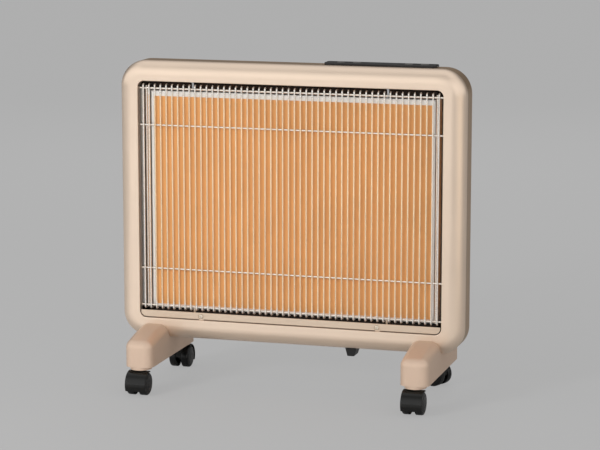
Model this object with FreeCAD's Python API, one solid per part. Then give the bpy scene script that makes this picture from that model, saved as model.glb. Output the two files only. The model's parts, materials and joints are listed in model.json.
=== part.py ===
import FreeCAD, Part
import math
import os

V = FreeCAD.Vector

# Driving dimensions in millimetres. X is to the right, Y to the back, Z up, and the floor is z = 0.
# "depth" counts backwards from the front face of the frame.
body_width = 624.0
body_height = 494.5
body_depth = 63.0
corner_radius = 45.0
nose_radius = 24.0
rear_radius = 5.0
half_width = body_width / 2

# Casters, from the floor up.
wheel_radius = 20.0
wheel_inner = 5.0
wheel_outer = 19.5
wheel_rim = 3.7
trail = 11.0
axle_radius = 2.5
axle_cover = 3.0
axle_half = wheel_outer - axle_cover
hood_wall = 2.3
hood_clearance = 0.7
hood_inner_radius = wheel_radius + hood_clearance
hood_radius = hood_inner_radius + hood_wall
hood_half_width = wheel_outer - 0.5
hood_top = wheel_radius + hood_radius + 0.7
web_half = wheel_inner - 0.5
stem_radius = 3.0
washer_gap = 0.8
running = 0.05
seat = 0.03
caster_headings = {
    "front_left": (-1, -1, 180.0),
    "front_right": (1, -1, 180.0),
    "rear_left": (-1, 1, 0.0),
    "rear_right": (1, 1, 68.0),
}

# Legs, on the casters and under the body.
collar_radius = 19.0
collar_height = 5.0
collar_bottom = hood_top + washer_gap
leg_bottom = collar_bottom + collar_height
leg_inset = 64.0
leg_x = half_width - leg_inset
leg_half_width = 25.3
leg_half_length = 120.5
leg_end_height = 44.5
leg_crown_height = 61.7
leg_end_top = leg_bottom + leg_end_height
leg_crown = leg_bottom + leg_crown_height
leg_corner = 16.0
leg_edge = 15.0
leg_wall = 3.0
saddle_height = 34.5
saddle_clearance = 0.25
saddle_wall = 3.5
leg_screw_y = 14.0
leg_screw_radius = 2.0
leg_boss_height = 18.0
leg_screw_drop = 8.0
swivel_y = leg_half_length - collar_radius
body_bottom = leg_bottom + saddle_height
body_top = body_bottom + body_height
leg_boss_top = body_bottom + leg_boss_height
leg_seat = body_bottom - leg_screw_drop

# Front frame and rear casing.
frame_depth = 26.0
frame_wall = 2.0
casing_wall = 1.2
seam_gap = 0.3
side_bar = 37.0
bottom_bar = 37.0
top_bar = 34.5
opening_half = half_width - side_bar
opening_bottom = body_bottom + bottom_bar
opening_top = body_top - top_bar
opening_radius = 11.5
flange_depth = 12.0
rim_radius = 1.4
post_inset = 19.0
post_low = 29.0
post_high = 34.0
post_x = half_width - post_inset
post_bottom = opening_bottom + post_low
post_top = opening_top - post_high
post_heights = (post_bottom, (post_bottom + post_top) / 2, post_top)
post_radius = 6.0
post_tip_radius = 3.5
plate_depth = 37.0
plate_thickness = 1.0
plate_back = plate_depth + plate_thickness
slot_width = 5.0
slot_height = 42.0
slot_pitch = 14.0
slot_count = 27
slot_row_pitch = 56.0
slot_low_row = 76.0
slot_high_row = 92.5

# Wire guard and the strip that holds it.
wire_radius = 1.6
wire_depth = 6.0
wire_count = 51
wire_margin = 8.5
wire_bend = 4.0
wire_foot = 16.0
wire_head = 6.0
wire_tail_depth = 12.5
wire_pitch = 2 * (opening_half - wire_margin) / (wire_count - 1)
wire_low = opening_bottom + wire_foot
wire_high = opening_top - wire_head
rail_radius = 1.7
rail_margin = 1.0
rail_half = opening_half - rail_margin
rail_low = 89.0
rail_high = 78.0
rail_heights = (wire_low + 6.0, opening_bottom + rail_low, opening_top - rail_high, wire_high - 7.0)
rod_radius = 2.25
rod_margin = 12.5
rod_x = opening_half - rod_margin
weld = 0.25
hook_gap_number = 41
hook_half = 1.6
hook_sheet = 1.0
strip_height = 13.5
strip_top = opening_bottom + strip_height
strip_front = 1.5
strip_thickness = 2.0
strip_clearance = 1.8
strip_screw_inset = 114.0
strip_screw_x = opening_half - strip_screw_inset
strip_screw_z = opening_bottom + strip_height / 2
strip_screw_radius = 1.4
strip_head_radius = 4.2
strip_head_gap = 0.8
strip_sink = 0.7

# Reflector and the stack of the radiant panel.
panel_side = 19.0
panel_foot = 17.5
panel_head = 20.0
panel_half = opening_half - panel_side
panel_bottom = opening_bottom + panel_foot
panel_top = opening_top - panel_head
panel_depth = 22.0
panel_thickness = 3.0
sheet_thickness = 1.0
trim_wall = 1.0
trim_cover = 4.5
trim_head_cover = 8.0
board_thickness = plate_depth - trim_wall - panel_depth - panel_thickness - sheet_thickness
reflector_wall = 0.8
reflector_gap = 0.4
foot_half = 15.0

# Control strip on the top.
control_inset = 57.0
control_length = 199.0
control_right = half_width - control_inset
control_left = control_right - control_length
control_front = frame_depth + 4.0
control_back = body_depth - rear_radius
control_width = control_back - control_front
control_lip = control_width / 7
display_inset = control_width / 4
control_height = 4.5
control_hole_margin = 6.0
button_step = 28.0
button_left = 28.0
button_right = 23.0
button_x = {
    "cooler_button": control_left + button_left,
    "warmer_button": control_left + button_left + button_step,
    "timer_button": control_right - button_right - button_step,
    "power_button": control_right - button_right,
}
button_length = 15.0
button_width = control_width / 3.1
button_proud = 0.7
button_travel = 0.7
button_clearance = 0.25
display_offset = 74.0
display_length = 56.0
display_left = control_left + display_offset
display_right = display_left + display_length
control_box_height = 19.0
control_floor = body_top - control_box_height
board_bottom = control_floor + 6.0
switch_top = board_bottom + 7.4

# Cord block under the body, and what is behind the backing plate.
gland_inset = 205.0
gland_x = half_width - gland_inset
gland_front = frame_depth + 2.0
gland_length = 27.0
gland_back = gland_front + gland_length
gland_height = 16.5
gland_bottom = body_bottom - gland_height
gland_top_half = 10.5
gland_bottom_half = 6.0
cord_radius = 4.0
cord_bore_length = 20.0
cord_drop = 8.0
cord_z = body_bottom - cord_drop
riser_depth = gland_back - 9.0
riser_radius = 4.5
rear_room = body_depth - casing_wall - plate_back
standoff_height = 8.0
power_clearance = 1.8
power_stack = rear_room - standoff_height - power_clearance
power_width = 90.0
power_inset = 112.0
power_left = half_width - power_inset - power_width
power_low = opening_bottom + 119.0
power_height = 60.0
power_depth = plate_back + standoff_height
power_thickness = 1.6
terminal_low = opening_bottom + 29.0
terminal_height = 18.0
terminal_clearance = 5.8
terminal_depth = rear_room - terminal_clearance
terminal_slot = 5.0
lead_hole_x = power_left - 18.0
lead_hole_z = power_low + power_height + 18.0
lead_end = 0.3
switch_z = opening_top - 124.0
switch_depth = 8.0
tab_clearance = 4.0
tab_depth = rear_room - tab_clearance
tip_inset = 192.0
tip_x = tip_inset - half_width
tip_z = opening_bottom + 55.0
tip_clearance = 3.8
tip_depth = rear_room - tip_clearance
tip_wall = 2.0
bob_clearance = 0.6
bob_half = tip_depth / 2 - tip_wall - bob_clearance
tip_pin_radius = 1.5

front = -body_depth / 2


def at(depth):
    return front + depth


def rounded_face(x0, x1, z0, z1, radius, y):
    k = radius * (1 - math.sqrt(0.5))

    def p(x, z):
        return V(x, y, z)

    edges = [
        Part.makeLine(p(x0 + radius, z0), p(x1 - radius, z0)),
        Part.Arc(p(x1 - radius, z0), p(x1 - k, z0 + k), p(x1, z0 + radius)).toShape(),
        Part.makeLine(p(x1, z0 + radius), p(x1, z1 - radius)),
        Part.Arc(p(x1, z1 - radius), p(x1 - k, z1 - k), p(x1 - radius, z1)).toShape(),
        Part.makeLine(p(x1 - radius, z1), p(x0 + radius, z1)),
        Part.Arc(p(x0 + radius, z1), p(x0 + k, z1 - k), p(x0, z1 - radius)).toShape(),
        Part.makeLine(p(x0, z1 - radius), p(x0, z0 + radius)),
        Part.Arc(p(x0, z0 + radius), p(x0 + k, z0 + k), p(x0 + radius, z0)).toShape(),
    ]
    return Part.Face(Part.Wire(edges))


def outline_block(inset, depth0, depth1):
    face = rounded_face(
        -half_width + inset,
        half_width - inset,
        body_bottom + inset,
        body_top - inset,
        corner_radius - inset,
        at(depth0),
    )
    return face.extrude(V(0, depth1 - depth0, 0))


def edges_at_depth(shape, depth):
    y = at(depth)
    return [e for e in shape.Edges if abs(e.BoundBox.YMin - y) < 1e-4 and abs(e.BoundBox.YMax - y) < 1e-4]


def nose_block(inset, depth1):
    block = outline_block(inset, inset, depth1)
    return block.makeFillet(nose_radius - inset, edges_at_depth(block, inset))


def body_block(inset):
    block = nose_block(inset, body_depth - inset)
    return block.makeFillet(rear_radius - inset, edges_at_depth(block, body_depth - inset))


def box(x0, x1, depth0, depth1, z0, z1):
    return Part.makeBox(x1 - x0, depth1 - depth0, z1 - z0, V(x0, at(depth0), z0))


def rod_y(x, z, radius, depth0, depth1):
    return Part.makeCylinder(radius, depth1 - depth0, V(x, at(depth0), z), V(0, 1, 0))


def rod_z(x, y, radius, z0, z1):
    return Part.makeCylinder(radius, z1 - z0, V(x, y, z0), V(0, 0, 1))


def opening_block(grow, depth0, depth1):
    face = rounded_face(
        -opening_half - grow,
        opening_half + grow,
        opening_bottom - grow,
        opening_top + grow,
        opening_radius + grow,
        at(depth0),
    )
    return face.extrude(V(0, depth1 - depth0, 0))


def post_places():
    return [(side * post_x, z) for side in (-1, 1) for z in post_heights]


def leg_pilot(side, y):
    return rod_z(side * leg_x, y, leg_screw_radius + seat, body_bottom - 1, leg_boss_top + 1)


def front_frame():
    tongue_inset = casing_wall + seam_gap
    tongue_wall = 1.6
    tongue_length = 4.0
    root_inset = 1.0
    root_depth = frame_depth - 8.0
    inner = frame_wall / 2

    shell = nose_block(0.0, frame_depth).cut(nose_block(frame_wall, frame_depth + 1))
    tongue = outline_block(root_inset, root_depth, frame_depth)
    tongue = tongue.fuse(outline_block(tongue_inset, root_depth, frame_depth + tongue_length))
    tongue = tongue.cut(outline_block(tongue_inset + tongue_wall, root_depth - 1, body_depth))
    flange = opening_block(frame_wall, inner, flange_depth)
    frame = shell.fuse([tongue, flange]).cut(opening_block(0.0, -1.0, body_depth))

    trim = nose_block(inner, body_depth)
    added = []
    for x, z in post_places():
        post = rod_y(x, z, post_radius, 0.0, plate_depth)
        post = post.fuse(rod_y(x, z, post_tip_radius, plate_depth, body_depth - casing_wall))
        added.append(post.common(trim))
    for side in (-1, 1):
        boss = rod_z(side * leg_x, -leg_screw_y, 5.0, body_bottom, leg_boss_top)
        added.append(boss.common(trim))
        strip_boss = box(
            -4.5, 4.5, strip_front + strip_thickness, flange_depth - 2.5,
            opening_bottom - inner, strip_top - 3,
        )
        strip_boss.translate(V(side * strip_screw_x, 0, 0))
        added.append(strip_boss)
    frame = frame.fuse(added).removeSplitter()

    pilots = []
    for x, z in post_places():
        pilots.append(rod_y(x, z, 1.6, body_depth - 20, body_depth))
    for side in (-1, 1):
        pilots.append(leg_pilot(side, -leg_screw_y))
        pilots.append(rod_y(side * strip_screw_x, strip_screw_z, strip_screw_radius + seat, 0, flange_depth))
    frame = frame.cut(pilots)

    rim = [e for e in edges_at_depth(frame, 0.0) if abs(e.BoundBox.Center.x) < opening_half + 1
           and opening_bottom - 1 < e.BoundBox.Center.z < opening_top + 1
           and (e.BoundBox.XMax < opening_half + 0.1 and e.BoundBox.XMin > -opening_half - 0.1)]
    return frame.makeFillet(rim_radius, rim)


def vent_slots():
    low = body_bottom + slot_low_row
    high = body_top - slot_high_row
    cutters = []
    for z in (low, low + slot_row_pitch, high - slot_row_pitch, high):
        for i in range(slot_count):
            x = (i - (slot_count - 1) / 2) * slot_pitch
            face = rounded_face(
                x - slot_width / 2, x + slot_width / 2, z - slot_height / 2, z + slot_height / 2,
                slot_width / 2 - 0.05, at(body_depth - 5),
            )
            cutters.append(face.extrude(V(0, 10, 0)))
    return cutters


def rear_casing():
    start = frame_depth + seam_gap
    keep = outline_block(-10.0, start, body_depth + 10)
    shell = body_block(0.0).cut(body_block(casing_wall)).common(keep)
    added = []
    for side in (-1, 1):
        added.append(rod_z(side * leg_x, leg_screw_y, 5.0, body_bottom + casing_wall / 2, leg_boss_top))
    casing = shell.fuse(added)
    cutters = vent_slots()
    for x, z in post_places():
        cutters.append(rod_y(x, z, 2.2, body_depth - 4, body_depth + 4))
    for side in (-1, 1):
        cutters.append(leg_pilot(side, leg_screw_y))
    cutters.append(box(
        control_left + control_hole_margin, control_right - control_hole_margin,
        control_front + control_lip, control_back - control_lip, body_top - 6, body_top + 6,
    ))
    for x, y in control_screw_places():
        cutters.append(rod_z(x, y, 1.6, body_top - 6, body_top + 6))
    cutters.append(rod_z(gland_x, at(riser_depth), riser_radius + 0.5, body_bottom - 4, body_bottom + 4))
    return casing.cut(cutters)


def pan_screw(radius, head_radius, head_height, length):
    # Head below z = 0, shank upwards, with a cross slot in the head.
    head = Part.makeCylinder(head_radius, head_height, V(0, 0, -head_height))
    rounded = [e for e in head.Edges if e.BoundBox.ZMax < -head_height + 1e-4]
    head = head.makeFillet(head_height * 0.7, rounded)
    slot_half = head_radius * 0.12
    arm = head_radius * 0.55
    deep = head_height * 0.5
    slot = Part.makeBox(2 * arm, 2 * slot_half, deep, V(-arm, -slot_half, -head_height))
    cross = slot.fuse(Part.makeBox(2 * slot_half, 2 * arm, deep, V(-slot_half, -arm, -head_height)))
    return head.cut(cross).fuse(Part.makeCylinder(radius, length)).removeSplitter()


def turned(shape, axis, degrees):
    copy = shape.copy()
    copy.rotate(V(0, 0, 0), axis, degrees)
    return copy


def moved(shape, x, y, z):
    copy = shape.copy()
    copy.translate(V(x, y, z))
    return copy


def casing_screws():
    screw = turned(pan_screw(1.55, 4.0, 2.2, 16.0), V(1, 0, 0), 90)
    return Part.makeCompound([moved(screw, x, at(body_depth), z) for x, z in post_places()])


def wire_positions():
    return [(i - (wire_count - 1) / 2) * wire_pitch for i in range(wire_count)]


def guard_wires():
    bend = wire_bend
    k = bend * (1 - math.sqrt(0.5))
    y0 = at(wire_depth)
    y1 = at(wire_tail_depth)

    def p(y, z):
        return V(0, y, z)

    path = Part.Wire([
        Part.makeLine(p(y1, wire_low), p(y0 + bend, wire_low)),
        Part.Arc(p(y0 + bend, wire_low), p(y0 + k, wire_low + k), p(y0, wire_low + bend)).toShape(),
        Part.makeLine(p(y0, wire_low + bend), p(y0, wire_high - bend)),
        Part.Arc(p(y0, wire_high - bend), p(y0 + k, wire_high - k), p(y0 + bend, wire_high)).toShape(),
        Part.makeLine(p(y0 + bend, wire_high), p(y1, wire_high)),
    ])
    circle = Part.Wire([Part.makeCircle(wire_radius, p(y1, wire_low), V(0, 1, 0))])
    wire = path.makePipeShell([circle], True, True)
    return Part.makeCompound([moved(wire, x, 0, 0) for x in wire_positions()])


def rail_depth():
    return wire_depth + wire_radius + rail_radius - weld


def guard_rails():
    rails = []
    for z in rail_heights:
        start = V(-rail_half, at(rail_depth()), z)
        rails.append(Part.makeCylinder(rail_radius, 2 * rail_half, start, V(1, 0, 0)))
    return Part.makeCompound(rails)


def guard_side_rods():
    depth = rail_depth() + rail_radius + rod_radius - weld
    low = rail_heights[0] - 4.0
    high = rail_heights[-1] + 4.0
    return Part.makeCompound([rod_z(side * rod_x, at(depth), rod_radius, low, high) for side in (-1, 1)])


def hook_x():
    return (hook_gap_number + 0.5 - (wire_count - 1) / 2) * wire_pitch


def guard_hooks():
    half = hook_half
    sheet = hook_sheet
    behind = rail_depth() + rail_radius + 0.2
    low = rail_heights[-1] - rail_radius - 0.3
    hook = box(-half, half, 4.0, behind + sheet, opening_top - sheet, opening_top)
    hook = hook.fuse(box(-half, half, behind, behind + sheet, low - sheet, opening_top))
    hook = hook.fuse(box(-half, half, wire_depth - 1.0, behind + sheet, low - sheet, low)).removeSplitter()
    return Part.makeCompound([moved(hook, side * hook_x(), 0, 0) for side in (-1, 1)])


def guard_retainer():
    gap = strip_clearance
    full = rounded_face(
        -opening_half + gap, opening_half - gap, opening_bottom + gap, opening_top,
        opening_radius - gap, at(strip_front),
    ).extrude(V(0, strip_thickness, 0))
    strip = full.common(box(-half_width, half_width, 0, 10, 0, strip_top))
    half = hook_half
    sheet = hook_sheet
    behind = rail_depth() + rail_radius + 0.2
    shelf = strip_top - 2.5
    tongue = box(-half, half, strip_front + 0.5, behind + sheet, shelf, shelf + sheet)
    tongue = tongue.fuse(box(-half, half, behind, behind + sheet, shelf, rail_heights[0] + 2.5))
    strip = strip.fuse([moved(tongue, side * hook_x(), 0, 0) for side in (-1, 1)]).removeSplitter()
    ring = strip_head_radius + strip_head_gap
    for side in (-1, 1):
        strip = strip.cut(rod_y(side * strip_screw_x, strip_screw_z, strip_screw_radius + 0.2, 0, 8))
        strip = strip.cut(rod_y(side * strip_screw_x, strip_screw_z, ring, 0, strip_front + strip_sink))
    edge = [e for e in edges_at_depth(strip, strip_front) if abs(e.BoundBox.ZMax - strip_top) < 1e-3
            and abs(e.BoundBox.ZMin - strip_top) < 1e-3]
    return strip.makeFillet(0.8, edge)


def retainer_screws():
    screw = turned(pan_screw(strip_screw_radius, strip_head_radius, 2.3, 6.8), V(1, 0, 0), -90)
    seat_y = at(strip_front + strip_sink)
    return Part.makeCompound([moved(screw, side * strip_screw_x, seat_y, strip_screw_z) for side in (-1, 1)])


def frustum(half0, low0, high0, depth0, half1, low1, high1, depth1):
    def loop(half, low, high, depth):
        y = at(depth)
        return Part.makePolygon([
            V(-half, y, low), V(half, y, low), V(half, y, high), V(-half, y, high), V(-half, y, low),
        ])

    return Part.makeLoft([loop(half0, low0, high0, depth0), loop(half1, low1, high1, depth1)], True, True)


def reflector():
    # A sloped sheet from the frame's inner flange down to the panel's edge, with a lip and eight feet.
    t = reflector_wall
    gap = trim_wall + reflector_gap
    back = panel_depth + 2.0
    lip = 8.0
    mouth = opening_half - 1.6
    mouth_low = opening_bottom + 1.6
    mouth_high = opening_top - 1.6
    throat = panel_half + gap
    throat_low = panel_bottom - gap
    throat_high = panel_top + gap
    outer = frustum(
        mouth + t, mouth_low - t, mouth_high + t, flange_depth,
        throat + t, throat_low - t, throat_high + t, back,
    )
    inner = frustum(mouth, mouth_low, mouth_high, flange_depth, throat, throat_low, throat_high, back)
    lip_plate = box(
        -mouth - lip, mouth + lip, flange_depth, flange_depth + t, mouth_low - lip, mouth_high + lip,
    )
    feet = []
    foot_x = panel_half / 2
    for side in (-1, 1):
        x0, x1 = sorted((side * throat, side * (throat + t)))
        for z in (rail_heights[1], rail_heights[2]):
            feet.append(box(x0, x1, back - 1, plate_depth, z - foot_half, z + foot_half))
        for z0, z1 in ((throat_low - t, throat_low), (throat_high, throat_high + t)):
            x0 = side * foot_x - foot_half
            feet.append(box(x0, x0 + 2 * foot_half, back - 1, plate_depth, z0, z1))
    return outer.fuse([lip_plate] + feet).cut(inner).removeSplitter()


def stack_block(half_grow, depth0, depth1):
    half = panel_half + half_grow
    return box(-half, half, depth0, depth1, panel_bottom - half_grow, panel_top + half_grow)


def stack_depths():
    panel_back = panel_depth + panel_thickness
    sheet_back = panel_back + sheet_thickness
    return panel_back, sheet_back, sheet_back + board_thickness


def panel_trim():
    board_back = stack_depths()[2]
    channel = stack_block(trim_wall, panel_depth - trim_wall, plate_depth)
    channel = channel.cut(stack_block(0.0, panel_depth, board_back))
    window = box(
        -panel_half + trim_cover, panel_half - trim_cover, panel_depth - 5, panel_depth + 1,
        panel_bottom + trim_cover, panel_top - trim_head_cover,
    )
    back_window = stack_block(-6.0, board_back - 1, plate_depth + 5)
    return channel.cut([window, back_window])


def radiant_panel():
    return stack_block(0.0, panel_depth, stack_depths()[0])


def heating_sheet():
    return stack_block(-4.0, stack_depths()[0], stack_depths()[1])


def insulation_board():
    return stack_block(0.0, stack_depths()[1], stack_depths()[2])


def backing_plate():
    margin = 6.0
    plate = box(
        -post_x - margin, post_x + margin, plate_depth, plate_back,
        post_bottom - 22, post_top + 22,
    )
    holes = [rod_y(x, z, post_tip_radius + 0.2, plate_depth - 2, plate_back + 3) for x, z in post_places()]
    holes.append(rod_y(lead_hole_x, lead_hole_z, 4.0, plate_depth - 2, plate_back + 3))
    return plate.cut(holes)


def push_nuts():
    back = plate_back
    nuts = []
    for x, z in post_places():
        ring = rod_y(x, z, 5.6, back, back + 1.2).cut(rod_y(x, z, post_tip_radius + seat, back - 1, back + 3))
        nuts.append(ring)
    return Part.makeCompound(nuts)


def leg_block(inset):
    # The leg's top is one arc along Y; its upright corners and top edges are rounded.
    length = leg_half_length - inset
    width = leg_half_width - inset
    low = leg_bottom - (0.0 if inset == 0 else leg_wall)
    end_top = leg_end_top - inset
    crown = leg_crown - inset
    profile = Part.Wire([
        Part.makeLine(V(-width, -length, low), V(-width, length, low)),
        Part.makeLine(V(-width, length, low), V(-width, length, end_top)),
        Part.Arc(V(-width, length, end_top), V(-width, 0, crown), V(-width, -length, end_top)).toShape(),
        Part.makeLine(V(-width, -length, end_top), V(-width, -length, low)),
    ])
    block = Part.Face(profile).extrude(V(2 * width, 0, 0))
    upright = [e for e in block.Edges if e.BoundBox.ZLength > 5 and e.BoundBox.YLength < 1e-4]
    block = block.makeFillet(leg_corner - inset, upright)
    top = [e for e in block.Edges if e.BoundBox.ZMin > low + 5 and not is_upright(e)]
    return block.makeFillet(leg_edge - inset, top)


def is_upright(edge):
    return edge.BoundBox.XLength < 1e-4 and edge.BoundBox.YLength < 1e-4


def leg(side):
    place = V(side * leg_x, 0, 0)
    outer = leg_block(0.0)
    outer.translate(place)
    cavity = leg_block(leg_wall)
    cavity.translate(place)
    cavity = cavity.cut(body_block(-saddle_clearance - saddle_wall))
    shell = outer.cut(cavity)

    floor_depth = leg_wall
    floor_start = swivel_y - collar_radius - 3
    added = []
    cut = []
    for end in (-1, 1):
        y = end * swivel_y
        y0, y1 = sorted((end * floor_start, end * leg_half_length))
        floor_corner = V(side * leg_x - leg_half_width, y0, leg_bottom)
        floor = Part.makeBox(2 * leg_half_width, y1 - y0, floor_depth, floor_corner)
        added.append(floor.common(outer))
        added.append(rod_z(side * leg_x, y, collar_radius, collar_bottom, leg_bottom + 1))
        added.append(rod_z(side * leg_x, y, stem_radius + 5, leg_bottom + 1, leg_end_top - 4))
        cut.append(rod_z(side * leg_x, y, stem_radius + seat, collar_bottom - 1, leg_end_top - 8))
        screw_y = end * leg_screw_y
        added.append(rod_z(side * leg_x, screw_y, leg_screw_radius + 4.5, leg_seat, body_bottom + 4))
        cut.append(rod_z(side * leg_x, screw_y, leg_screw_radius + 0.2, leg_seat - 6, body_bottom + 8))
    body = shell.fuse(added).cut([body_block(-saddle_clearance)] + cut).removeSplitter()
    return body


def leg_screws():
    screw = pan_screw(leg_screw_radius, leg_screw_radius + 2, 2.8, leg_screw_drop + leg_boss_height - 4)
    return Part.makeCompound(
        [moved(screw, side * leg_x, end * leg_screw_y, leg_seat) for side in (-1, 1) for end in (-1, 1)]
    )


def rod_x_axis(y, z, radius, x0, x1):
    return Part.makeCylinder(radius, x1 - x0, V(x0, y, z), V(1, 0, 0))


def caster_stem():
    stem = rod_z(0, 0, stem_radius, wheel_radius + 6, leg_end_top - 10)
    stem = stem.fuse(rod_z(0, 0, stem_radius + 4, hood_top + running, collar_bottom))
    return stem.removeSplitter()


def caster_hood():
    # A fender over the trailing side of the wheels, a web between them and a neck under the collar.
    low_angle = math.radians(-28.0)
    reach = 60.0
    shell = rod_x_axis(trail, wheel_radius, hood_radius, -hood_half_width, hood_half_width)
    ends = [e for e in shell.Edges if e.BoundBox.XLength < 1e-4]
    shell = shell.makeFillet(1.6, ends)

    def p(y, z):
        return V(-reach, trail + y, wheel_radius + z)

    low_corner = p(reach * math.cos(low_angle), reach * math.sin(low_angle))
    sector = Part.Face(Part.makePolygon([
        p(0, 0), low_corner, p(reach, reach), p(-18, reach), p(0, 0),
    ])).extrude(V(2 * reach, 0, 0))
    hood = shell.common(sector).fuse(rod_z(0, 0, stem_radius + 6, wheel_radius + 10, hood_top))
    for side in (-1, 1):
        x0, x1 = sorted((side * web_half, side * reach))
        hood = hood.cut(rod_x_axis(trail, wheel_radius, hood_inner_radius, x0, x1))
    web = rod_x_axis(trail, wheel_radius, 9.5, -web_half, web_half)
    neck = Part.makeBox(2 * web_half, 14.0, hood_top - wheel_radius, V(-web_half, -7.0, wheel_radius))
    spine = Part.makeBox(2 * web_half, 18.0, 20.0, V(-web_half, 0.0, wheel_radius))
    hood = hood.fuse([web, neck, spine]).removeSplitter()
    hood = hood.cut(rod_z(0, 0, stem_radius + running, wheel_radius + 5, hood_top + 1))
    return hood.cut(rod_x_axis(trail, wheel_radius, axle_radius + seat, -reach, reach))


def caster_axle():
    return rod_x_axis(trail, wheel_radius, axle_radius, -axle_half, axle_half)


def caster_wheel(side):
    # Turned about the axle: a rim and a hub joined by a domed outer disc that covers the axle's end.
    bore = axle_radius + running
    cap = 3.0

    def p(x, r):
        return V(x, trail + r, wheel_radius)

    hub = bore + 3.45
    rim = wheel_radius - wheel_rim
    disc = wheel_outer - 5.5
    shoulder = p(wheel_outer - 4.5, wheel_radius)
    edge = p(wheel_outer - 0.9, wheel_radius - 4)
    outline = [
        Part.makeLine(p(axle_half + 0.2, 0), p(axle_half + 0.2, bore)),
        Part.makeLine(p(axle_half + 0.2, bore), p(wheel_inner, bore)),
        Part.makeLine(p(wheel_inner, bore), p(wheel_inner, hub)),
        Part.makeLine(p(wheel_inner, hub), p(disc, hub)),
        Part.makeLine(p(disc, hub), p(disc, rim)),
        Part.makeLine(p(disc, rim), p(wheel_inner, rim)),
        Part.makeLine(p(wheel_inner, rim), p(wheel_inner, wheel_radius - 0.8)),
        Part.makeLine(p(wheel_inner, wheel_radius - 0.8), p(wheel_inner + 0.8, wheel_radius)),
        Part.makeLine(p(wheel_inner + 0.8, wheel_radius), shoulder),
        Part.Arc(shoulder, p(wheel_outer - 1.9, wheel_radius - 1.4), edge).toShape(),
        Part.Arc(edge, p(wheel_outer - 0.25, wheel_radius * 0.45), p(wheel_outer, cap)).toShape(),
        Part.makeLine(p(wheel_outer, cap), p(wheel_outer, 0)),
        Part.makeLine(p(wheel_outer, 0), p(axle_half + 0.2, 0)),
    ]
    wheel = Part.Face(Part.Wire(outline)).revolve(V(0, trail, wheel_radius), V(1, 0, 0), 360)
    if side < 0:
        wheel = wheel.mirror(V(0, 0, 0), V(1, 0, 0))
    return wheel


def caster_pieces():
    pieces = {
        "stem": caster_stem(),
        "hood": caster_hood(),
        "axle": caster_axle(),
        "wheel_left": caster_wheel(-1),
        "wheel_right": caster_wheel(1),
    }
    placed = {}
    for corner, (side, end, heading) in caster_headings.items():
        for name, shape in pieces.items():
            copy = turned(shape, V(0, 0, 1), heading)
            placed[corner + "_" + name] = moved(copy, side * leg_x, end * swivel_y, 0)
    return placed


def control_middle():
    return at((control_front + control_back) / 2)


def control_screw_places():
    inset_x = 3.0
    inset_y = 2.4
    return [(x, y) for x in (control_left + inset_x, control_right - inset_x)
            for y in (at(control_front + inset_y), at(control_back - inset_y))]


def button_block(grow, z0, z1):
    length = button_length / 2 + grow
    width = button_width / 2 + grow
    block = Part.makeBox(2 * length, 2 * width, z1 - z0, V(-length, -width, z0))
    upright = [e for e in block.Edges if is_upright(e)]
    return block.makeFillet(width - 0.6, upright)


def display_block(inset, z0, z1):
    side = display_inset + inset
    return box(display_left + inset, display_right - inset, control_front + side, control_back - side, z0, z1)


def control_panel():
    top = body_top + control_height
    panel = box(control_left, control_right, control_front, control_back, body_top, top)
    panel = panel.makeFillet(6.0, [e for e in panel.Edges if is_upright(e)])
    panel = panel.makeFillet(1.6, [e for e in panel.Edges if e.BoundBox.ZMin > top - 1e-4])
    cutters = [moved(button_block(button_clearance, body_top - 1, top + 1), x, control_middle(), 0)
               for x in button_x.values()]
    cutters.append(display_block(0.0, top - 1.0, top + 1))
    for x, y in control_screw_places():
        cutters.append(rod_z(x, y, 1.25 + seat, body_top - 1, top - 1.4))
    return panel.cut(cutters)


def display_window():
    top = body_top + control_height
    return display_block(0.1, top - 1.0, top)


def push_button():
    top = body_top + control_height + button_proud
    flange_top = body_top - 0.1
    flange_bottom = flange_top - 1.2
    cap = button_block(0.0, flange_top - 0.4, top)
    cap = cap.makeFillet(0.6, [e for e in cap.Edges if e.BoundBox.ZMin > top - 1e-4])
    flange = button_block(1.5, flange_bottom, flange_top)
    stem = rod_z(0, 0, 2.2, switch_top + button_travel + 0.1, flange_bottom + 0.2)
    return cap.fuse([flange, stem]).removeSplitter()


def push_buttons():
    button = push_button()
    return {name: moved(button, x, control_middle(), 0) for name, x in button_x.items()}


def control_box():
    wall = 1.5
    gap = 0.5
    margin = control_hole_margin + gap
    x0 = control_left + margin
    x1 = control_right - margin
    d0 = control_front + control_lip + gap
    d1 = control_back - control_lip - gap
    flange_top = body_top - casing_wall
    tray = box(x0, x1, d0, d1, control_floor, flange_top)
    flange = box(
        control_left + 1, control_right - 1, control_front + 0.6, control_back - 0.6,
        flange_top - wall, flange_top,
    )
    hollow = box(x0 + wall, x1 - wall, d0 + wall, d1 - wall, control_floor + wall, body_top)
    tray = tray.fuse(flange).cut(hollow)
    ledges = []
    for a, b in ((x0 + wall, x0 + wall + 5), (x1 - wall - 5, x1 - wall)):
        ledges.append(box(a, b, d0 + wall - 0.5, d1 - wall + 0.5, control_floor + wall - 0.5, board_bottom))
    tray = tray.fuse(ledges)
    holes = [rod_z(x, y, 1.6, body_top - 12, body_top) for x, y in control_screw_places()]
    return tray.cut(holes).removeSplitter()


def control_board():
    margin = control_hole_margin + 2.4
    side = control_lip + 2.4
    board = box(
        control_left + margin, control_right - margin, control_front + side, control_back - side,
        board_bottom, board_bottom + 1.6,
    )
    parts = []
    for x in button_x.values():
        parts.append(Part.makeBox(6.0, 6.0, 4.0, V(x - 3, control_middle() - 3, board_bottom + 1.6)))
        parts.append(rod_z(x, control_middle(), 1.6, board_bottom + 5.0, switch_top))
    parts.append(display_block(2.0, board_bottom + 1, body_top - 4))
    return board.fuse(parts).removeSplitter()


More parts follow.
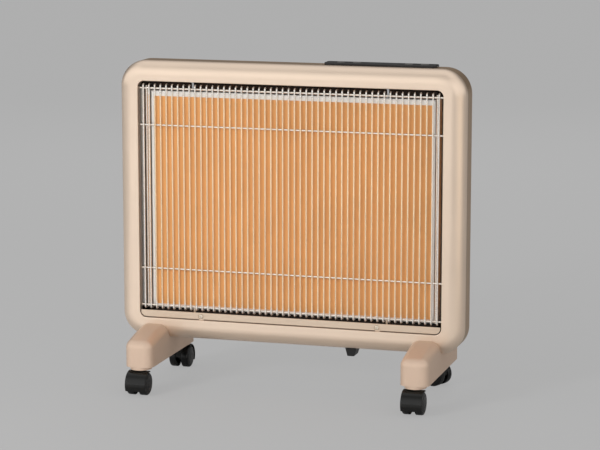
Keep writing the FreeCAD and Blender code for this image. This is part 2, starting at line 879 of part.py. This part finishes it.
def control_screws():
    head_top = body_top - casing_wall - 1.5
    screw = pan_screw(1.25, 2.4, 1.4, 5.4)
    return Part.makeCompound([moved(screw, x, y, head_top) for x, y in control_screw_places()])


def power_board():
    back = power_depth
    x0 = power_left
    z0 = power_low
    board = box(x0, x0 + power_width, back, back + power_thickness, z0, z0 + power_height)
    top = back + power_stack
    relay = box(x0 + 8, x0 + 27, back + 1, top, z0 + 8, z0 + 24)
    transformer = box(x0 + 40, x0 + 68, back + 1, top - 0.5, z0 + 10, z0 + 34)
    capacitor = rod_y(x0 + power_width - 12, z0 + power_height - 12, 5.0, back + 1, top - 1)
    return board.fuse([relay, transformer, capacitor]).removeSplitter()


def board_standoffs():
    inset = 5.0
    places = [(x, z) for x in (power_left + inset, power_left + power_width - inset)
              for z in (power_low + inset, power_low + power_height - inset)]
    return Part.makeCompound([rod_y(x, z, 3.0, plate_back, power_depth) for x, z in places])


def terminal_block():
    back = plate_back
    z0 = terminal_low
    z1 = terminal_low + terminal_height
    end = back + terminal_depth
    block = box(gland_x - 20, gland_x + 20, back, end, z0, z1)
    slots = []
    for i in range(3):
        x0 = gland_x - 16 + 11 * i
        slots.append(box(x0, x0 + 8, end - terminal_slot, end + 1, z0 - 2, z1 + 2))
    return block.cut(slots)


def limit_switch():
    back = plate_back
    switch = rod_y(0, switch_z, 8.0, back, back + switch_depth)
    ear = box(-12, 12, back, back + 1.0, switch_z - 4, switch_z + 4)
    low = back + switch_depth - 1
    high = back + tab_depth
    tabs = [box(x, x + 3, low, high, switch_z - 3, switch_z + 3) for x in (-5, 2)]
    return switch.fuse([ear] + tabs).removeSplitter()


def tip_switch_case():
    back = plate_back
    w = tip_wall
    case = box(tip_x - 18, tip_x + 18, back, back + tip_depth, tip_z - 36, tip_z + 8)
    hollow = box(tip_x - 18 + w, tip_x + 18 - w, back + w, back + tip_depth - w, tip_z - 46, tip_z + 8 - w)
    return case.cut(hollow).cut(rod_y(tip_x, tip_z, tip_pin_radius + seat, back - 1, back + tip_depth - 1))


def tip_switch_pin():
    return rod_y(tip_x, tip_z, tip_pin_radius, plate_back + 0.5, plate_back + tip_depth - 1)


def tip_pendulum():
    middle = plate_back + tip_depth / 2
    arm = box(tip_x - 2.5, tip_x + 2.5, middle - 2, middle + 2, tip_z - 22, tip_z)
    eye = rod_y(tip_x, tip_z, tip_pin_radius + 2.1, middle - 2, middle + 2)
    bob = rod_y(tip_x, tip_z - 22, 6.0, middle - bob_half, middle + bob_half)
    bore = rod_y(tip_x, tip_z, tip_pin_radius + running, 0, body_depth)
    return arm.fuse([eye, bob]).removeSplitter().cut(bore)


def lead(points, radius):
    # Straight runs joined by tangent arcs, as large as the shorter run allows.
    runs = []
    start = points[0]
    for before, corner, after in zip(points, points[1:], points[2:]):
        into = (before - corner).normalize()
        out = (after - corner).normalize()
        half_turn = (math.pi - into.getAngle(out)) / 2
        reach = 0.45 * min((before - corner).Length, (after - corner).Length)
        bend = reach / math.tan(half_turn)
        first = corner + into * reach
        last = corner + out * reach
        inward = (into + out).normalize()
        middle = corner + inward * (math.hypot(bend, reach) - bend)
        runs.append(Part.makeLine(start, first))
        runs.append(Part.Arc(first, middle, last).toShape())
        start = last
    runs.append(Part.makeLine(start, points[-1]))
    path = Part.Wire(runs)
    circle = Part.Wire([Part.makeCircle(radius, points[0], points[1] - points[0])])
    return path.makePipeShell([circle], True, True)


def wiring():
    # Each lead ends square to its terminal, just clear of it.
    block_depth = plate_back + 6.0
    board_depth = power_depth + power_thickness / 2
    terminal_top = terminal_low + terminal_height
    power_top = power_low + power_height
    inlet = lead([
        V(gland_x, at(riser_depth), body_bottom + 4), V(gland_x, at(riser_depth), terminal_low - 32),
        V(gland_x, at(block_depth), terminal_low - 10), V(gland_x, at(block_depth), terminal_low - lead_end),
    ], 2.2)
    feed_x = power_left + 20
    feed = lead([
        V(gland_x + 10, at(block_depth), terminal_top + lead_end),
        V(gland_x + 10, at(block_depth), power_low - 35),
        V(feed_x, at(board_depth), power_low - 14), V(feed_x, at(board_depth), power_low - lead_end),
    ], 1.6)
    signal_x = power_left + 40
    signal_depth = (control_front + control_back) / 2
    signal = lead([
        V(signal_x, at(board_depth), power_top + lead_end), V(signal_x, at(board_depth), control_floor - 116),
        V(signal_x, at(signal_depth), control_floor - 56),
        V(signal_x, at(signal_depth), control_floor - lead_end),
    ], 1.6)
    heat_z = power_top - 25
    heat = lead([
        V(power_left - lead_end, at(board_depth), heat_z), V(lead_hole_x, at(board_depth), heat_z),
        V(lead_hole_x, at(board_depth), lead_hole_z), V(lead_hole_x, at(plate_depth + 0.5), lead_hole_z),
    ], 1.4)
    return Part.makeCompound([inlet, feed, signal, heat])


def cord_gland():
    profile = Part.makePolygon([
        V(gland_x - gland_top_half, at(gland_front), body_bottom),
        V(gland_x + gland_top_half, at(gland_front), body_bottom),
        V(gland_x + gland_bottom_half, at(gland_front), gland_bottom),
        V(gland_x - gland_bottom_half, at(gland_front), gland_bottom),
        V(gland_x - gland_top_half, at(gland_front), body_bottom),
    ])
    block = Part.Face(profile).extrude(V(0, gland_length, 0))
    lower = [e for e in block.Edges if e.BoundBox.ZMax < gland_bottom + 1e-3]
    block = block.makeFillet(1.5, lower)
    bore = rod_y(gland_x, cord_z, cord_radius, gland_back - cord_bore_length, gland_back + 5)
    riser = rod_z(gland_x, at(riser_depth), riser_radius, cord_z, body_bottom + 4)
    return block.cut([bore, riser])


nodes = {
    "front_frame": front_frame(),
    "rear_casing": rear_casing(),
    "casing_screws": casing_screws(),
    "guard_wires": guard_wires(),
    "guard_rails": guard_rails(),
    "guard_side_rods": guard_side_rods(),
    "guard_hooks": guard_hooks(),
    "guard_retainer": guard_retainer(),
    "retainer_screws": retainer_screws(),
    "reflector": reflector(),
    "panel_trim": panel_trim(),
    "radiant_panel": radiant_panel(),
    "heating_sheet": heating_sheet(),
    "insulation_board": insulation_board(),
    "backing_plate": backing_plate(),
    "push_nuts": push_nuts(),
    "left_leg": leg(-1),
    "right_leg": leg(1),
    "leg_screws": leg_screws(),
    "control_panel": control_panel(),
    "control_box": control_box(),
    "control_board": control_board(),
    "control_screws": control_screws(),
    "display_window": display_window(),
    "power_board": power_board(),
    "board_standoffs": board_standoffs(),
    "terminal_block": terminal_block(),
    "limit_switch": limit_switch(),
    "tip_switch_case": tip_switch_case(),
    "tip_switch_pin": tip_switch_pin(),
    "tip_pendulum": tip_pendulum(),
    "wiring": wiring(),
    "cord_gland": cord_gland(),
}
nodes.update(push_buttons())
nodes.update(caster_pieces())

os.makedirs("parts", exist_ok=True)
for name, shape in nodes.items():
    shape.exportStep("parts/" + name + ".step")
    print(name, len(shape.Solids), shape.isValid(), round(shape.Volume / 1000, 2))
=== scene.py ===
import bmesh
import bpy
import json
import math
from mathutils import Matrix, Vector


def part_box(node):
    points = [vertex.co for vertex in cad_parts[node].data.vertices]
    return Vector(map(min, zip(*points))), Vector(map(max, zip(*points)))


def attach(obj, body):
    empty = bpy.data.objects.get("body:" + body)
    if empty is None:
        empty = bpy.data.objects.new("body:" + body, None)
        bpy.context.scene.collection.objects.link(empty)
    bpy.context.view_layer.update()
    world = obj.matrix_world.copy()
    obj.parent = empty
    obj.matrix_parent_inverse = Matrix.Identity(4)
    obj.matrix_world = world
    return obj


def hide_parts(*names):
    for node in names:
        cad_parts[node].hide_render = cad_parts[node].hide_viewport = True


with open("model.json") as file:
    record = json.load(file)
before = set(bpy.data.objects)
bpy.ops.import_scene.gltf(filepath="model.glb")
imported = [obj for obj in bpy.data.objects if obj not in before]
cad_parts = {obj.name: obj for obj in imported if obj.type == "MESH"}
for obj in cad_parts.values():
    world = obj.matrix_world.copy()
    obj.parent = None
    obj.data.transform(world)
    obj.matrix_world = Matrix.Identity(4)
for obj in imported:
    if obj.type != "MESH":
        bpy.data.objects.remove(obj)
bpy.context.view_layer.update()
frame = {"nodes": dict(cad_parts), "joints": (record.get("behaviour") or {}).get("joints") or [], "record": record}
record = frame["record"]
nodes = frame["nodes"]
mm = 0.001
print("frame loaded:", len(nodes), "nodes")


# finishes

def newFinish(name):
    finish = bpy.data.materials.new(name)
    finish.use_nodes = True
    tree = finish.node_tree
    shader = tree.nodes["Principled BSDF"]
    return finish, tree, shader


def objectNoise(tree, scale, detail, stretch):
    coords = tree.nodes.new("ShaderNodeTexCoord")
    mapping = tree.nodes.new("ShaderNodeMapping")
    mapping.inputs["Scale"].default_value = stretch
    noise = tree.nodes.new("ShaderNodeTexNoise")
    noise.inputs["Scale"].default_value = scale
    noise.inputs["Detail"].default_value = detail
    tree.links.new(coords.outputs["Object"], mapping.inputs["Vector"])
    tree.links.new(mapping.outputs["Vector"], noise.inputs["Vector"])
    return noise.outputs["Fac"]


def spreadColour(tree, shader, source, band, dark, light):
    ramp = tree.nodes.new("ShaderNodeValToRGB")
    for element, position, colour in zip(ramp.color_ramp.elements, band, (dark, light)):
        element.position = position
        element.color = (*colour, 1.0)
    tree.links.new(source, ramp.inputs["Fac"])
    tree.links.new(ramp.outputs["Color"], shader.inputs["Base Color"])


def spreadRoughness(tree, shader, source, low, high):
    span = tree.nodes.new("ShaderNodeMapRange")
    span.inputs["To Min"].default_value = low
    span.inputs["To Max"].default_value = high
    tree.links.new(source, span.inputs["Value"])
    tree.links.new(span.outputs["Result"], shader.inputs["Roughness"])


def addBump(tree, shader, source, strength, distance):
    bump = tree.nodes.new("ShaderNodeBump")
    bump.inputs["Strength"].default_value = strength
    bump.inputs["Distance"].default_value = distance
    tree.links.new(source, bump.inputs["Height"])
    tree.links.new(bump.outputs["Normal"], shader.inputs["Normal"])


def shade(colour, factor):
    return tuple(min(1.0, c * factor) for c in colour)


# gives a second colour outside a box set by its two sides and its two heights in metres; this paints the
# reflector's shade and bounds the wires' painted reflection
def colourRim(tree, shader, rim):
    coords = tree.nodes.new("ShaderNodeTexCoord")
    split = tree.nodes.new("ShaderNodeSeparateXYZ")
    tree.links.new(coords.outputs["Object"], split.inputs["Vector"])
    soft = rim["soft"]
    spans = [
        (split.outputs["X"], rim["right"] - soft, rim["right"] + soft),
        (split.outputs["X"], rim["left"] + soft, rim["left"] - soft),
        (split.outputs["Z"], rim["high"] - soft, rim["high"] + soft),
        (split.outputs["Z"], rim["low"] + soft, rim["low"] - soft),
    ]
    total = None
    for source, inner, outer in spans:
        span = tree.nodes.new("ShaderNodeMapRange")
        span.inputs["From Min"].default_value = inner
        span.inputs["From Max"].default_value = outer
        tree.links.new(source, span.inputs["Value"])
        if total:
            larger = tree.nodes.new("ShaderNodeMath")
            larger.operation = "MAXIMUM"
            tree.links.new(total, larger.inputs[0])
            tree.links.new(span.outputs["Result"], larger.inputs[1])
            total = larger.outputs["Value"]
        else:
            total = span.outputs["Result"]
    mix = tree.nodes.new("ShaderNodeMixRGB")
    tree.links.new(total, mix.inputs["Fac"])
    tree.links.new(shader.inputs["Base Color"].links[0].from_socket, mix.inputs["Color1"])
    mix.inputs["Color2"].default_value = (*rim["colour"], 1.0)
    tree.links.new(mix.outputs["Color"], shader.inputs["Base Color"])


# what a finish has where its own settings say nothing
finishDefaults = {
    "metallic": 0.0, "specular": 0.5, "coat": 0.0, "coatRoughness": 0.1,
    "mottleScale": 12.0, "mottleDetail": 4.0, "mottleBand": (0.35, 0.65), "stretch": (1.0, 1.0, 1.0),
    "spread": 0.04, "roughSpread": 0.05, "leastRoughness": 0.02,
    "grainScale": 900.0, "grainDetail": 2.0, "bump": 0.05, "bumpDistance": 0.0002,
}


def finishFrom(name, ownSettings):
    settings = {**finishDefaults, **ownSettings}
    finish, tree, shader = newFinish(name)
    shader.inputs["Metallic"].default_value = settings["metallic"]
    shader.inputs["Coat Weight"].default_value = settings["coat"]
    shader.inputs["Coat Roughness"].default_value = settings["coatRoughness"]
    shader.inputs["Specular IOR Level"].default_value = settings["specular"]
    stretch = settings["stretch"]
    mottle = objectNoise(tree, settings["mottleScale"], settings["mottleDetail"], stretch)
    dark = shade(settings["colour"], 1.0 - settings["spread"])
    light = shade(settings["colour"], 1.0 + settings["spread"])
    spreadColour(tree, shader, mottle, settings["mottleBand"], dark, light)
    grain = objectNoise(tree, settings["grainScale"], settings["grainDetail"], stretch)
    low = max(settings["leastRoughness"], settings["roughness"] - settings["roughSpread"])
    high = settings["roughness"] + settings["roughSpread"]
    spreadRoughness(tree, shader, mottle, low, high)
    addBump(tree, shader, grain, settings["bump"], settings["bumpDistance"])
    if "rim" in settings:
        colourRim(tree, shader, settings["rim"])
    return finish


champagnePaint = {
    "metallic": 0.85, "roughness": 0.38, "roughSpread": 0.03, "mottleScale": 9.0, "spread": 0.015,
    "grainScale": 2600.0, "bump": 0.04,
}
guardPlating = {
    "metallic": 0.9, "roughness": 0.25, "spread": 0.03, "mottleScale": 60.0, "bump": 0.02,
    "stretch": (1.0, 1.0, 0.15),
}
guardPaintedReflectionBox = {  # inside the panel's edges the wires carry a painted warm reflection of the orange panel; past them they keep their plain plating colour
    "left": -0.254, "right": 0.254, "low": 0.15, "high": 0.518, "soft": 0.004,
    "colour": (0.86, 0.82, 0.77),
}
reflectorPaintedShade = {  # the reflector's outer edge carries painted shade, near black, standing in for the shadowed cavity round the panel
    "left": -0.28, "right": 0.28, "low": 0.1395, "high": 0.5285, "soft": 0.0012,
    "colour": (0.03, 0.027, 0.025),
}
finishSettings = {
    "champagne_frame": {**champagnePaint, "colour": (0.8, 0.643, 0.51)},
    # the casing is a two-tone darker brown, darkened further as painted shade for its side faces
    "champagne_casing": {**champagnePaint, "colour": (0.42, 0.297, 0.195), "metallic": 0.8, "roughness": 0.42,
                         "spread": 0.02, "grainScale": 2200.0, "bump": 0.06},
    # the leg colour is the frame paint darkened as painted shade for its darker tops and sides
    "champagne_leg": {**champagnePaint, "colour": (0.6, 0.45, 0.345), "metallic": 0.6, "roughness": 0.54},
    "champagne_strip": {**champagnePaint, "colour": (0.69, 0.55, 0.425)},
    "screw_champagne": {"colour": (0.78, 0.68, 0.56), "metallic": 1.0, "roughness": 0.22, "spread": 0.05,
                        "mottleScale": 120.0},
    "zinc": {"colour": (0.42, 0.42, 0.43), "metallic": 1.0, "roughness": 0.34, "spread": 0.08,
             "mottleScale": 180.0},
    "guard_chrome": {**guardPlating, "colour": (0.86, 0.8, 0.73)},
    # the warm wire colour is a painted reflection of the orange heating panel behind the wires
    "guard_wire_painted_reflection": {**guardPlating, "colour": (0.93, 0.73, 0.51), "rim": guardPaintedReflectionBox},
    # the reflector's dark outer band is painted shade
    "polished_sheet": {"colour": (0.28, 0.275, 0.275), "metallic": 1.0, "roughness": 0.2, "spread": 0.06,
                       "mottleScale": 25.0, "rim": reflectorPaintedShade},
    "trim_aluminium": {"colour": (0.76, 0.74, 0.7), "metallic": 0.4, "roughness": 0.4},
    "panel_orange": {"colour": (0.64, 0.305, 0.104), "roughness": 0.55, "spread": 0.05, "mottleScale": 14.0,
                     "grainScale": 1400.0, "bump": 0.15},
    "mica": {"colour": (0.55, 0.46, 0.28), "roughness": 0.6, "spread": 0.15, "mottleScale": 40.0},
    "insulation": {"colour": (0.8, 0.78, 0.72), "roughness": 0.9, "spread": 0.06, "mottleScale": 60.0,
                   "grainScale": 500.0, "bump": 0.5, "bumpDistance": 0.0006},
    "galvanised": {"colour": (0.5, 0.52, 0.54), "metallic": 1.0, "roughness": 0.42, "spread": 0.14,
                   "mottleScale": 70.0, "roughSpread": 0.1},
    "control_gloss": {"colour": (0.006, 0.0045, 0.004), "roughness": 0.07, "spread": 0.1},
    "black_plastic": {"colour": (0.01, 0.01, 0.01), "roughness": 0.45, "specular": 0.3, "spread": 0.12,
                      "grainScale": 1600.0, "bump": 0.25},
    "circuit_board": {"colour": (0.02, 0.16, 0.06), "roughness": 0.35, "spread": 0.2, "mottleScale": 260.0},
    "display": {"colour": (0.008, 0.009, 0.012), "roughness": 0.08, "coat": 0.6, "spread": 0.05},
    "brass": {"colour": (0.7, 0.5, 0.2), "metallic": 1.0, "roughness": 0.3, "spread": 0.06},
    "lead_sheath": {"colour": (0.55, 0.52, 0.48), "roughness": 0.6, "spread": 0.05},
    "button_grey": {"colour": (0.09, 0.085, 0.08), "roughness": 0.32, "spread": 0.06, "grainScale": 1800.0,
                    "bump": 0.15},
    "caster_black": {"colour": (0.005, 0.005, 0.0045), "roughness": 0.2, "specular": 0.3, "spread": 0.1,
                     "grainScale": 1500.0, "bump": 0.1},
    "wheel_black": {"colour": (0.006, 0.006, 0.006), "roughness": 0.28, "specular": 0.24, "spread": 0.15,
                    "grainScale": 1200.0, "bump": 0.2},
}
finishes = {slot: finishFrom(slot, settings) for slot, settings in finishSettings.items()}
finishOf = {entry["node"]: entry["material_slot"] for entry in record["subparts"]}
finishOf["guard_wires"] = "guard_wire_painted_reflection"
for nodeName, node in nodes.items():
    node.data.materials.clear()
    node.data.materials.append(finishes[finishOf[nodeName]])
print("finishes:", len(finishes))


# floor, light and camera

def addObject(name, data):
    added = bpy.data.objects.new(name, data)
    bpy.context.scene.collection.objects.link(added)
    return added


def meshObject(bm, name, finish):
    mesh = bpy.data.meshes.new(name)
    bm.to_mesh(mesh)
    bm.free()
    mesh.materials.append(finish)
    return addObject(name, mesh)


def placeAndAim(holder, settings):
    holder.location = settings["place"]
    toward = Vector(settings["aim"]) - Vector(settings["place"])
    holder.rotation_euler = toward.to_track_quat("-Z", "Y").to_euler()


def plainGrey(level):
    return (level, level, level, 1.0)


# the camera sees mostly an even glow with a share of the real shadow, all other light meets a matte floor
floorSettings = {"half": 30.0, "segments": 4, "grey": 0.43, "glow": 1.05, "shadowShare": 0.2}


def makeFloor(settings):
    finish = bpy.data.materials.new("studioGrey")
    finish.use_nodes = True
    tree = finish.node_tree
    tree.nodes.clear()
    output = tree.nodes.new("ShaderNodeOutputMaterial")
    matte = tree.nodes.new("ShaderNodeBsdfDiffuse")
    matte.inputs["Color"].default_value = plainGrey(settings["grey"])
    glow = tree.nodes.new("ShaderNodeEmission")
    glow.inputs["Color"].default_value = plainGrey(settings["grey"])
    glow.inputs["Strength"].default_value = settings["glow"]
    share = tree.nodes.new("ShaderNodeMixShader")
    share.inputs["Fac"].default_value = settings["shadowShare"]
    path = tree.nodes.new("ShaderNodeLightPath")
    choose = tree.nodes.new("ShaderNodeMixShader")
    tree.links.new(glow.outputs["Emission"], share.inputs[1])
    tree.links.new(matte.outputs["BSDF"], share.inputs[2])
    tree.links.new(path.outputs["Is Camera Ray"], choose.inputs["Fac"])
    tree.links.new(matte.outputs["BSDF"], choose.inputs[1])
    tree.links.new(share.outputs["Shader"], choose.inputs[2])
    tree.links.new(choose.outputs["Shader"], output.inputs["Surface"])
    bm = bmesh.new()
    cells = settings["segments"]
    bmesh.ops.create_grid(bm, x_segments=cells, y_segments=cells, size=settings["half"])
    floor = meshObject(bm, "studioFloor", finish)


# each soft box is a bright round patch of sky, its edge and its core in degrees off its middle
worldSettings = {
    "seen": 0.425,
    "base": 0.1,
    "softBoxes": [
        {"toward": (-0.77, -0.62, 0.15), "edge": 61.0, "core": 34.0, "strength": 1.24},
        {"toward": (0.93, -0.36, 0.1), "edge": 84.0, "core": 20.0, "strength": 1.2},
        {"toward": (-0.1, 0.3, 0.95), "edge": 50.0, "core": 16.0, "strength": 1.0},
        {"toward": (0.1, -0.98, 0.05), "edge": 66.0, "core": 15.0, "strength": 0.3},
    ],
}


def makeWorld(settings):
    world = bpy.data.worlds.new("studio")
    bpy.context.scene.world = world
    world.use_nodes = True
    tree = world.node_tree
    tree.nodes.clear()
    output = tree.nodes.new("ShaderNodeOutputWorld")
    seenGrey = tree.nodes.new("ShaderNodeBackground")
    seenGrey.inputs["Color"].default_value = plainGrey(settings["seen"])
    softLight = tree.nodes.new("ShaderNodeBackground")
    coords = tree.nodes.new("ShaderNodeTexCoord")
    total = None
    for softBox in settings["softBoxes"]:
        facing = tree.nodes.new("ShaderNodeVectorMath")
        facing.operation = "DOT_PRODUCT"
        facing.inputs[1].default_value = Vector(softBox["toward"]).normalized()
        span = tree.nodes.new("ShaderNodeMapRange")
        span.interpolation_type = "SMOOTHSTEP"
        span.inputs["From Min"].default_value = math.cos(math.radians(softBox["edge"]))
        span.inputs["From Max"].default_value = math.cos(math.radians(softBox["core"]))
        span.inputs["To Max"].default_value = softBox["strength"]
        add = tree.nodes.new("ShaderNodeMath")
        add.inputs[1].default_value = settings["base"]
        tree.links.new(coords.outputs["Generated"], facing.inputs[0])
        tree.links.new(facing.outputs["Value"], span.inputs["Value"])
        tree.links.new(span.outputs["Result"], add.inputs[0])
        if total:
            tree.links.new(total, add.inputs[1])
        total = add.outputs["Value"]
    tree.links.new(total, softLight.inputs["Strength"])
    path = tree.nodes.new("ShaderNodeLightPath")
    choose = tree.nodes.new("ShaderNodeMixShader")
    tree.links.new(path.outputs["Is Camera Ray"], choose.inputs["Fac"])
    tree.links.new(softLight.outputs["Background"], choose.inputs[1])
    tree.links.new(seenGrey.outputs["Background"], choose.inputs[2])
    tree.links.new(choose.outputs["Shader"], output.inputs["Surface"])


# the last three lie on the floor and face up, and shiny surfaces reflect them
lampSettings = {
    "keyLamp": {"place": (-1.15, -2.0, 0.9), "aim": (0.0, 0.0, 0.33), "size": 0.4, "power": 34.0},
    "fillLamp": {"place": (1.6, -3.7, 0.7), "aim": (0.0, 0.0, 0.3), "size": 2.4, "power": 20.0},
    "backLamp": {"place": (-0.8, 3.0, 2.2), "aim": (0.0, 0.0, 0.3), "size": 2.2, "power": 20.0},
    "tableLamp": {"place": (-0.95, -2.3, 0.02), "aim": (-0.95, -2.2, 1.0), "size": 2.7, "power": 23.0,
                  "glossy": True},
    "cardLamp": {"place": (-0.15, -0.38, 0.006), "aim": (-0.15, -0.36, 1.0), "size": 1.5, "depth": 0.42,
                 "power": 0.65, "glossy": True},
    "sideLamp": {"place": (2.0, -1.3, 0.02), "aim": (1.9, -1.3, 1.0), "size": 2.4, "power": 22.0,
                 "glossy": True, "colour": (1.0, 0.88, 0.7)},
}


def makeLamp(name, settings):
    lamp = bpy.data.lights.new(name, "AREA")
    lamp.shape = "RECTANGLE"
    lamp.size = settings["size"]
    lamp.size_y = settings.get("depth", settings["size"])
    lamp.energy = settings["power"]
    lamp.color = settings.get("colour", (1.0, 1.0, 1.0))
    holder = addObject(name, lamp)
    holder.visible_camera = False
    holder.visible_glossy = settings.get("glossy", False)
    placeAndAim(holder, settings)


cameraSettings = {
    "place": (1.15599, -3.86802, 0.99711), "aim": (0.02248, -0.0315, 0.30179), "lens": 140.35, "sensor": 36.0,
}


def makeCamera(settings):
    viewer = bpy.data.cameras.new("viewer")
    viewer.lens = settings["lens"]
    viewer.sensor_width = settings["sensor"]
    holder = addObject("viewer", viewer)
    placeAndAim(holder, settings)
    bpy.context.scene.camera = holder


makeFloor(floorSettings)
makeWorld(worldSettings)
for lampName, settings in lampSettings.items():
    makeLamp(lampName, settings)
makeCamera(cameraSettings)
bpy.context.scene.view_settings.view_transform = "Standard"
print("floor, lamps and camera ready")


# pieces

def pieceFrom(bm, name, body, slot):
    piece = meshObject(bm, name, finishes[slot])
    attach(piece, body)
    return piece


def smoothShade(bm, degrees):
    limit = math.radians(degrees)
    for face in bm.faces:
        face.smooth = True
    for edge in bm.edges:
        edge.smooth = len(edge.link_faces) == 2 and edge.calc_face_angle(0.0) < limit


def spinProfile(points, steps, merge):
    bm = bmesh.new()
    verts = [bm.verts.new((x * mm, 0.0, r * mm)) for x, r in points]
    for first, second in zip(verts, verts[1:]):
        bm.edges.new((first, second))
    bmesh.ops.spin(bm, geom=bm.verts[:] + bm.edges[:], cent=(0, 0, 0), axis=(1, 0, 0), dvec=(0, 0, 0),
                   angle=2 * math.pi, steps=steps, use_merge=True, use_duplicate=False)
    bmesh.ops.remove_doubles(bm, verts=bm.verts[:], dist=merge * mm)
    bmesh.ops.recalc_face_normals(bm, faces=bm.faces[:])
    return bm


# half section of a caster wheel from its bore out over the rim to the dome, in mm along and off the axle
wheelSettings = {
    "steps": 72,
    "merge": 0.004,
    "smoothAngle": 34.0,
    "section": [
        (16.7, 0.0), (16.7, 2.55), (5.0, 2.55), (5.0, 6.0), (13.8, 6.0), (14.0, 6.2), (14.0, 16.1),
        (13.8, 16.3), (5.0, 16.3), (5.0, 19.2), (5.25, 19.75), (5.8, 20.0), (9.6, 20.0), (9.8, 19.7),
        (10.4, 19.7), (10.6, 20.0), (15.0, 20.0), (16.2, 19.75), (17.2, 19.05), (18.0, 17.9), (18.5, 16.4),
        (18.65, 14.9), (18.3, 14.5), (18.3, 13.9), (18.75, 13.5), (19.05, 11.0), (19.25, 8.5), (19.4, 6.4),
        (19.1, 6.1), (19.1, 5.6), (19.45, 5.3), (19.5, 2.5), (19.5, 0.0),
    ],
}


def makeWheels(settings):
    for joint in frame["joints"]:
        name = joint["child"]
        if "_wheel_" not in name:
            continue
        bm = spinProfile(settings["section"], settings["steps"], settings["merge"])
        axis = Vector(joint["axis"])
        outward = axis if name.endswith("right") else -axis
        turn = outward.to_track_quat("X", "Z").to_matrix().to_4x4()
        bmesh.ops.transform(bm, matrix=Matrix.Translation(joint["pos_m"]) @ turn, verts=bm.verts[:])
        smoothShade(bm, settings["smoothAngle"])
        wheel = pieceFrom(bm, name + "_moulding", name, "wheel_black")
        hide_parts(name)


# one flattened bead where each upright wire meets each rail, in mm
weldSettings = {
    "radius": 0.95,
    "squash": (1.25, 0.8, 1.25),
    "subdivisions": 1,
    "sink": 0.15,
    "smoothAngle": 80.0,
    "wireCount": 51,
    "wireRadius": 1.6,
    "railHeights": (143.0, 210.0, 466.0, 531.0),
}


def makeWelds(settings):
    wireLow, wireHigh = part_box("guard_wires")
    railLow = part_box("guard_rails")[0]
    wireRadius = settings["wireRadius"] * mm
    wireCount = settings["wireCount"]
    firstX = wireLow.x + wireRadius
    pitch = (wireHigh.x - wireLow.x - 2 * wireRadius) / (wireCount - 1)
    depth = railLow.y + settings["sink"] * mm
    squash = Matrix.Diagonal((*settings["squash"], 1.0))
    bm = bmesh.new()
    for height in settings["railHeights"]:
        for i in range(wireCount):
            place = Matrix.Translation((firstX + i * pitch, depth, height * mm))
            bmesh.ops.create_icosphere(bm, subdivisions=settings["subdivisions"],
                                       radius=settings["radius"] * mm, matrix=place @ squash)
    smoothShade(bm, settings["smoothAngle"])
    pieceFrom(bm, "guard_weld_beads", "housing", "guard_chrome")


makeWheels(wheelSettings)
makeWelds(weldSettings)
print("wheels and guard welds made")
